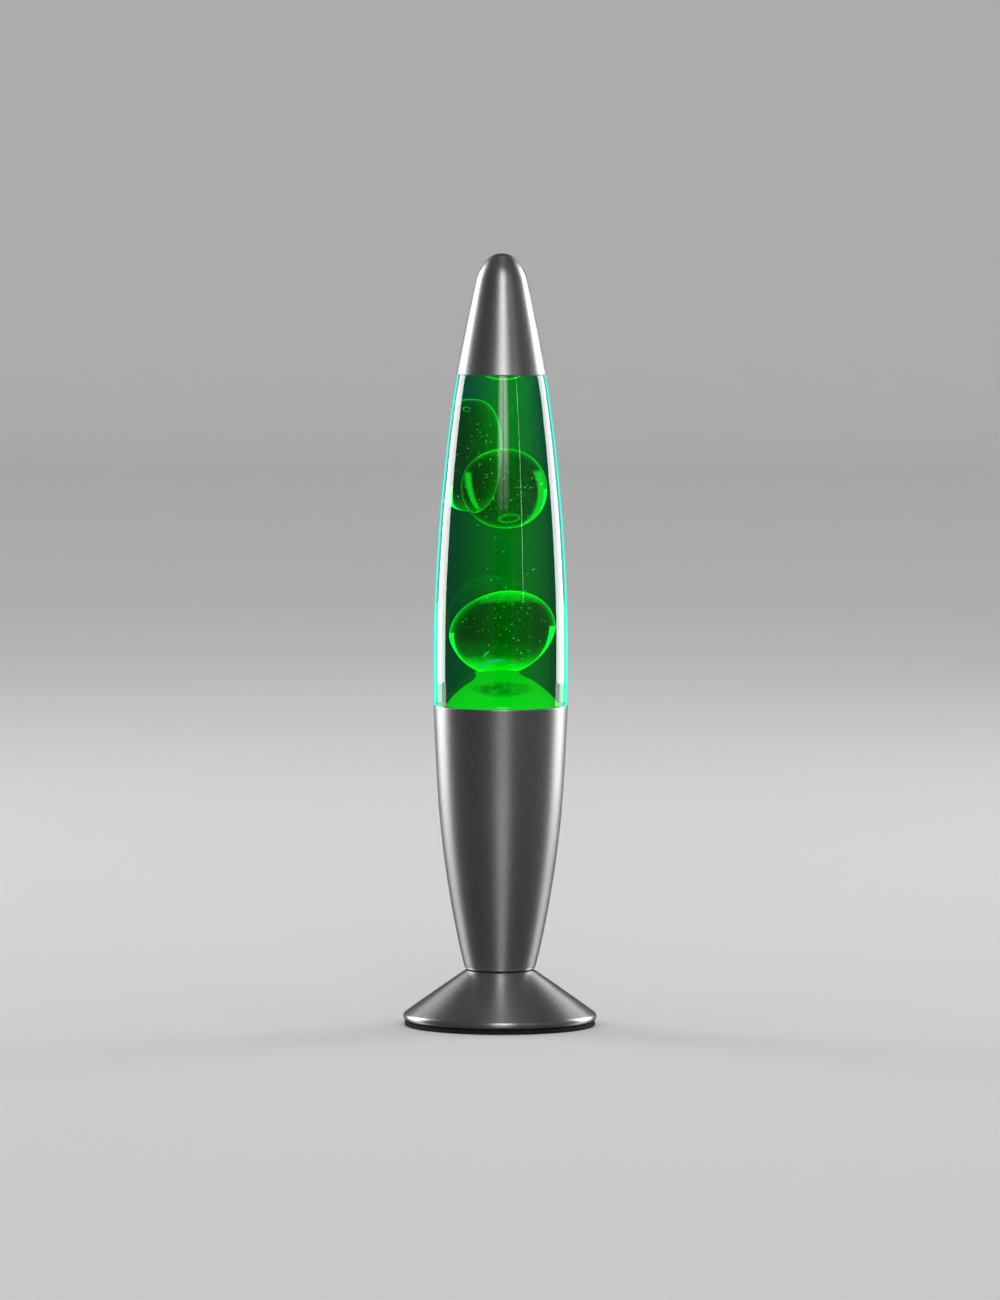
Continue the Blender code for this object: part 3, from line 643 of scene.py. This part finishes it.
def make_wax():
    blob("wax_low", *LOW, "low_wax", "wax_blob_low", LOW_WAX, lean=0.12, shear=LOW_SHEAR)
    blob("wax_high", *HIGH, "high_wax", "wax_blob_high", HIGH_WAX, tilt=(0, -4))
    blob("wax_side", *SIDE, "side_wax", "wax_blob_side", SIDE_WAX, tilt=(4.8, 0.5), fullness=2.6)
    top = ((0.5, 0.0, 287.6), (9.0, 9.0, 4.4))
    blob("wax_top", *top, "top_wax", "wax_blob_top", WAX, pressed=False)
    specks("specks_low", *LOW, 55, "low_wax", 11)
    specks("specks_high", *HIGH, 60, "high_wax", 12)
    specks("specks_side", *SIDE, 45, "side_wax", 13)
    specks("specks_liquid", (0.0, -4.0, 215.0), (17.0, 12.0, 60.0), 30, "bottle", 14)
    cup = smooth([(0.0, 154.9), (3.0, 155.2), (5.6, 156.1), (7.5, 157.25)], 4)
    neck = smooth([(7.6, 157.05), (7.3, 155.3), (8.6, 153.3), (11.6, 151.2)], 5)[:-1]
    dome = smooth([(11.6, 151.2), (15.6, 147.0), (18.8, 142.0), (22.0, 134.5), (24.75, 127.5)], 6)
    edge = [(24.1, 122.5), (22.2, 118.6)]
    groove = [(22.2, 123.2), (14.5, 123.2), (14.5, 117.3), (12.0, 118.2), (0.0, 118.9)]
    profile = cup + neck + dome + edge + groove
    pool = turned("wax_pool", profile, MOUND, "bottle", ["wax_mound"])
    lean_pool(bake_modifiers(pool))


def lean_pool(mesh):
    """Shift the neck under the low blob's lowest point, tip its cup, and draw the pool's left side in."""
    for vertex in mesh.vertices:
        x, y, z = vertex.co / MM
        share = min(1.0, max(0.0, (z - 147.0) / 6.0))
        share = share * share * (3 - 2 * share)
        flank = min(1.0, max(0.0, (z - 124.0) / 8.0))
        reach = max(math.hypot(x, y), 0.001)
        vertex.co.x = (x * (1 - 0.04 * flank * (1 - x / reach)) - NECK_SHIFT * share) * MM
        vertex.co.z = (z + LOW_SHEAR * x * share) * MM


def ring(name, centre, radius, thickness, tip, body):
    """A thin ring with a painted glow, where a drop joins a blob or a bubble sits.
    tip turns it to the front.
    """
    shape = bmesh.new()
    steps, sides = 48, 10
    rows = []
    for i in range(steps):
        around = 2 * math.pi * i / steps
        swell = thickness * (1 + 0.35 * math.sin(around - 0.6))
        row = []
        for j in range(sides):
            turn = 2 * math.pi * j / sides
            reach = radius + swell * math.cos(turn)
            place = (reach * math.cos(around), reach * math.sin(around), swell * math.sin(turn))
            row.append(shape.verts.new(Vector(place) * MM))
        rows.append(row)
    for row, after in zip(rows, rows[1:] + rows[:1]):
        for j in range(sides):
            k = (j + 1) % sides
            shape.faces.new((row[j], after[j], after[k], row[k]))
    obj = from_bmesh(name, shape, RING, body)
    obj.location = Vector(centre) * MM
    obj.rotation_euler = (math.radians(tip), math.radians(-6), 0)


def streak(name, stations, width):
    """A painted glint in the low blob, a thin curved streak of turquoise glow: a row of small balls,
    largest in its middle.
    """
    path = smooth(stations, 6)
    shape = bmesh.new()
    for i, point in enumerate(path):
        taper = math.sin(math.pi * (i + 0.6) / (len(path) + 0.2))
        ball(shape, point, width * (0.35 + 0.65 * taper))
    from_bmesh(name, shape, GLINT, "low_wax")


def make_droplets():
    """Rings of painted glow in the high and side blobs, and painted glints in the low blob."""
    ring("ring_high", (3.0, -9.6, 223.8), 3.7, 0.55, 27, "high_wax")
    ring("ring_side", (-10.5, 5.4, 270.0), 1.0, 0.2, 78, "side_wax")
    long_glint = [(-8.0, -11.0, 158.6), (-5.2, -12.6, 160.8), (-2.0, -13.2, 161.8), (1.2, -13.2, 161.9)]
    short_glint = [(-6.8, -12.0, 163.2), (-5.6, -12.6, 164.6), (-4.4, -12.8, 165.8)]
    streak("glint_long", long_glint, 0.62)
    streak("glint_short", short_glint, 0.34)


def make_body():
    rim = [(29.35, BODY_TOP_Z), (29.5, BODY_TOP_Z - 0.25)]
    corner = smooth([(15.6, 25.9), (15.0, 25.1), (13.8, 24.7)], 3) + [(5.35, 24.7)]
    profile = rim + smooth(BODY_SIDE) + corner
    turned("body_spun", profile, ALUMINIUM, "base", ["body_shell"], wall=0.6)


def make_foot():
    bead_radius = 1.95
    centre = (RIM_RADIUS - bead_radius, PLATE_BOTTOM_Z + bead_radius)
    bead = arc(centre, bead_radius, 55, -90, 14)
    slope = smooth([(15.9, 23.9), (22.8, 19.1), (29.2, 14.6), (35.5, 10.15), bead[0]], 8)
    top = [(5.35, 24.4), (14.4, 24.4), (15.3, 24.25)]
    profile = top + slope + bead[1:] + [(39.5, PLATE_BOTTOM_Z)]
    finish, nodes = FOOT_ALUMINIUM, ["foot_shell"]
    foot = turned("foot_spun", profile, finish, "base", nodes, wall=0.8)
    bake_modifiers(foot)
    drill(foot, GROMMET_PLACE, GROMMET_RISE, GROMMET_RADIUS)


def drill(obj, centre, rise, radius):
    """Cut a round hole through a wall on the +Y side. rise is the hole's direction above the table."""
    length = 12
    shape = bmesh.new()
    ends = {"radius1": radius * MM, "radius2": radius * MM}
    bmesh.ops.create_cone(shape, cap_ends=True, segments=48, depth=length * MM, **ends)
    mesh = bpy.data.meshes.new("drill")
    shape.to_mesh(mesh)
    shape.free()
    cutter = put("drill", mesh)
    cutter.location = Vector(centre) * MM
    cutter.rotation_euler = (math.radians(rise - 90), 0, 0)
    bpy.context.view_layer.update()
    cut = obj.modifiers.new("cut", "BOOLEAN")
    cut.operation = "DIFFERENCE"
    cut.object = cutter
    bake_modifiers(obj)
    bpy.data.objects.remove(cutter)


def make_pad():
    g = Graph("foam_pad")
    cells = g.noise(g.place, 2500.0, 2.0, 0.6)
    g.feed(
        g.shader,
        Base_Color=g.blend(cells, (0.006, 0.006, 0.006), (0.022, 0.022, 0.023)),
        Roughness=0.9,
        Normal=g.bump(cells, 0.0001),
    )
    radius, bevel = 41.9, 0.3
    top = [(0.0, PAD_THICKNESS), (radius - bevel, PAD_THICKNESS), (radius, PAD_THICKNESS - bevel)]
    bottom = [(radius, bevel), (radius - bevel, 0.0), (0.0, 0.0)]
    turned("pad_foam", top + bottom, g.material, "base", ["base_pad"])


# ---- Carried-over CAD nodes ----------------------------------------------------------------------


def finish_for(slot):
    g = Graph("finish_" + slot)
    record = {m["slot"]: m for m in frame["record"]["materials"]}[slot]
    colour = record["base_color"][:3]
    grain = g.noise(g.place, 1500.0, 4.0, 0.6)
    cloud = g.noise(g.place, 120.0, 3.0, 0.5)
    tone = g.blend(cloud, tuple(c * 0.8 for c in colour), tuple(min(1, c * 1.1) for c in colour))
    metal = record["class"] in ("brushed_steel", "brass", "cast_iron", "chrome", "aluminium")
    g.feed(
        g.shader,
        Base_Color=tone,
        Roughness=g.span(grain, 0.3, 0.5) if metal else g.span(grain, 0.4, 0.65),
        Metallic=1.0 if metal else 0.0,
        Normal=g.bump(grain, 0.00002),
    )
    return g.material


def finish_cad_nodes():
    made = {}
    for row in frame["record"]["subparts"]:
        slot = row["material_slot"]
        if slot not in made:
            made[slot] = finish_for(slot)
        obj = bpy.data.objects.get(row["node"])
        if obj is not None:
            for place in obj.material_slots:
                place.material = made[slot]


# ---- Stage ---------------------------------------------------------------------------------------

# The glow behind the lamp: degrees from its middle, its radiance there, and its blue
GLOW = [
    (0, 0.46, 0.14),
    (9, 0.39, 0.22),
    (16, 0.26, 0.26),
    (26, 0.15, 0.27),
    (34, 0.11, 0.27),
    (55, 0.11, 0.24),
    (80, 0.28, 0.34),
    (180, 0.28, 0.28),
]
GLOW_TURN = 5.0  # degrees that its middle lies to the left


def stage_material(name, colour, roughness):
    g = Graph(name)
    grain = g.noise(g.place, 300.0, 3.0, 0.5)
    low = tuple(c * 0.97 for c in colour)
    g.feed(g.shader, Base_Color=g.blend(grain, low, colour), Roughness=roughness)
    return g.material


def make_stage():
    """A pale round floor that curves up all round into a pale wall. It stays out of the reflections,
    as it would behind black flags, so the metal keeps its dark zones. The clear glass doesn't show it
    either: it shows the surround instead."""
    floor_radius, bend, wall_top = 5.0, 1.6, 4.0
    path = [(0.0, 0.0), (1.0, 0.0), (3.0, 0.0), (floor_radius, 0.0)]
    for i in range(1, 17):
        angle = math.radians(90 * i / 16)
        path.append((floor_radius + bend * math.sin(angle), bend - bend * math.cos(angle)))
    path.append((floor_radius + bend, wall_top))
    mesh = bpy.data.meshes.new("pale_floor")
    mesh.from_pydata([(r, 0, z) for r, z in path], [(i, i + 1) for i in range(len(path) - 1)], [])
    floor = put("pale_floor", mesh)
    screw = floor.modifiers.new("turn", "SCREW")
    screw.steps = 96
    screw.render_steps = 96
    screw.use_merge_vertices = True
    screw.use_smooth_shade = True
    screw.use_normal_flip = True
    floor.data.materials.append(stage_material("pale_paper", (0.72, 0.72, 0.72), 0.8))
    floor.visible_glossy = False
    floor.visible_transmission = False
    floor.visible_shadow = False


def make_surround():
    """What the clear glass shows behind it: a soft glow behind the lamp that dims to either side.
    Nothing else sees it."""
    surround = bpy.data.meshes.new("surround")
    shape = bmesh.new()
    radius, height = 3.4, 9.0
    bmesh.ops.create_cone(shape, cap_ends=False, segments=96, radius1=radius, radius2=radius, depth=height)
    shape.to_mesh(surround)
    shape.free()
    obj = put("surround", surround)
    g = Graph("surround_glow")
    across, along, _ = g.axes()
    angle = g.math("ADD", g.math("ARCTAN2", across, along), math.radians(GLOW_TURN))
    stops = [(degrees / 180, (level, level, blue)) for degrees, level, blue in GLOW]
    light = g.ramp(g.math("DIVIDE", g.math("ABSOLUTE", angle), math.pi), stops, "B_SPLINE")
    g.feed(g.shader, Base_Color=(0, 0, 0, 1), Specular_IOR_Level=0.0)
    g.feed(g.shader, Emission_Color=light, Emission_Strength=1.0)
    surround.materials.append(g.material)
    obj.visible_camera = False
    obj.visible_diffuse = False
    obj.visible_glossy = False
    obj.visible_shadow = False


def area_light(name, width, length, radiance):
    """A rectangular light that the camera doesn't see. It faces down until it is turned."""
    light = bpy.data.lights.new(name, "AREA")
    light.shape = "RECTANGLE"
    light.size = width
    light.size_y = length
    light.energy = radiance * width * length * math.pi
    obj = put(name, light)
    obj.visible_camera = False
    return obj


def softbox(name, azimuth, distance, width, low, high, radiance):
    """An upright light that faces the lamp. Azimuth 0 is the camera's side, and 90 is +X."""
    obj = area_light(name, width, high - low, radiance)
    angle = math.radians(azimuth)
    place = Vector((distance * math.sin(angle), -distance * math.cos(angle), (low + high) / 2))
    obj.location = place
    facing = Vector((-place.x, -place.y, 0))
    obj.rotation_euler = facing.to_track_quat("-Z", "Y").to_euler()
    return obj


def brightness(g, value, levels):
    """A brightness that follows (place, level) stops along a value, smoothly."""
    low, high = levels[0][0], levels[-1][0]
    stops = [((place - low) / (high - low), (level, level, level)) for place, level in levels]
    return g.ramp(g.span(value, 0.0, 1.0, low, high), stops, "EASE")


def make_centre_card():
    """A tall light panel on the camera's side, which lays a soft streak down the middle of the lamp. It
    is dim along its own middle line and dark at the lamp's height. Its part below the table is dimmer, as
    a polished table top would mirror it."""
    distance, half_width = 2.6, 0.62
    bottom, top = -2.6, 4.2
    mesh = bpy.data.meshes.new("centre_card")
    shape = bmesh.new()
    bmesh.ops.create_grid(shape, x_segments=1, y_segments=1, size=1.0)
    shape.to_mesh(mesh)
    shape.free()
    card = put("centre_card", mesh)
    angle = math.radians(4.0)
    card.location = (distance * math.sin(angle), -distance * math.cos(angle), (bottom + top) / 2)
    card.scale = (half_width, (top - bottom) / 2, 1.0)
    card.rotation_euler = (math.radians(90), 0, angle)
    g = Graph("centre_card_glow")
    x, y, _ = g.axes()
    across = [(0.0, 0.15), (0.05, 0.3), (0.12, 1.0), (0.5, 0.8), (0.8, 0.3), (1.0, 0.0)]
    width = brightness(g, g.math("ABSOLUTE", x), across)
    middle, half = (bottom + top) / 2, (top - bottom) / 2
    below = [(bottom, 0.55), (-0.7, 0.6), (-0.42, 0.9), (-0.29, 1.6), (-0.2, 0.0)]
    above = [(0.5, 0.0), (0.83, 2.5), (1.0, 2.7), (2.4, 2.6), (top, 0.6)]
    up = brightness(g, y, [((z - middle) / half, level) for z, level in below + above])
    g.feed(g.shader, Base_Color=(0, 0, 0, 1), Specular_IOR_Level=0.0)
    g.feed(g.shader, Emission_Color=g.math("MULTIPLY", width, up), Emission_Strength=1.0)
    mesh.materials.append(g.material)
    card.visible_camera = False
    card.visible_transmission = False
    card.visible_shadow = False


def make_lights():
    """Side strips behind the lamp, and dimmer copies of them below the table, as a polished table top
    would mirror them. A narrow pair further back lights the foot's edges, a sliver draws the thin line
    down the glass's right side, and the floor is lit from overhead."""
    upright = ((-0.02, 1.2, 3.7), (1.2, 1.5, 1.8), (1.5, 1.9, 0.8))
    mirrored = ((-0.2, -0.02, 1.5), (-0.45, -0.2, 0.7), (-0.8, -0.45, 0.8), (-1.6, -0.8, 0.65))
    for side, name, back in ((-1, "left", 0.6), (1, "right", 0.95)):
        for i, (low, high, radiance) in enumerate(upright):
            softbox(f"strip_{name}_{i}", side * 125, 2.0, 1.0, low, high, radiance)
        for i, (low, high, radiance) in enumerate(mirrored):
            box = softbox(f"mirrored_{name}_{i}", side * 124, 2.0, 1.06, low, high, radiance)
            box.visible_transmission = False
        box = softbox(f"high_{name}", side * 157, 2.0, 0.35, 0.8, 1.5, back)
        box.visible_transmission = False
    softbox("fill_right", 70, 3.0, 2.6, -1.0, 2.0, 0.025)
    sliver = softbox("sliver_right", 39, 2.7, 0.035, 0.2, 2.4, 3.5)
    sliver.visible_transmission = False
    over = area_light("over_lamp", 0.8, 2.4, 0.14)
    over.location = (0.1, 0.4, 2.6)
    top = area_light("overhead", 13.0, 13.0, 0.8)
    top.location = (0, 0, 5.5)
    top.visible_glossy = False
    top.visible_transmission = False
    world = bpy.data.worlds.new("studio")
    world.use_nodes = True
    world.node_tree.nodes["Background"].inputs[0].default_value = (0.03, 0.03, 0.03, 1)
    bpy.context.scene.world = world


def make_camera():
    distance, height, aim_x, aim_z = 4.2, 0.45, -0.00035, 0.1653
    roll = math.radians(0.15)
    camera = bpy.data.cameras.new("camera")
    camera.lens = 265.6
    camera.sensor_width = 36.0
    camera.clip_end = 50
    obj = put("camera", camera)
    obj.location = (aim_x, -distance, height)
    aim = Vector((aim_x, 0, aim_z)) - obj.location
    turn = aim.to_track_quat("-Z", "Y").to_matrix() @ Matrix.Rotation(roll, 3, "Z")
    obj.rotation_euler = turn.to_euler()
    bpy.context.scene.camera = obj


def main():
    make_camera()
    make_stage()
    make_surround()
    make_centre_card()
    make_lights()
    finish_cad_nodes()
    make_cap()
    make_bottle()
    make_liquid()
    make_wax()
    make_droplets()
    make_body()
    make_foot()
    make_pad()
    scene = bpy.context.scene
    scene.view_settings.view_transform = "Standard"
    scene.cycles.max_bounces = 24
    scene.cycles.transmission_bounces = 24
    scene.cycles.glossy_bounces = 8
    scene.cycles.transparent_max_bounces = 16


main()
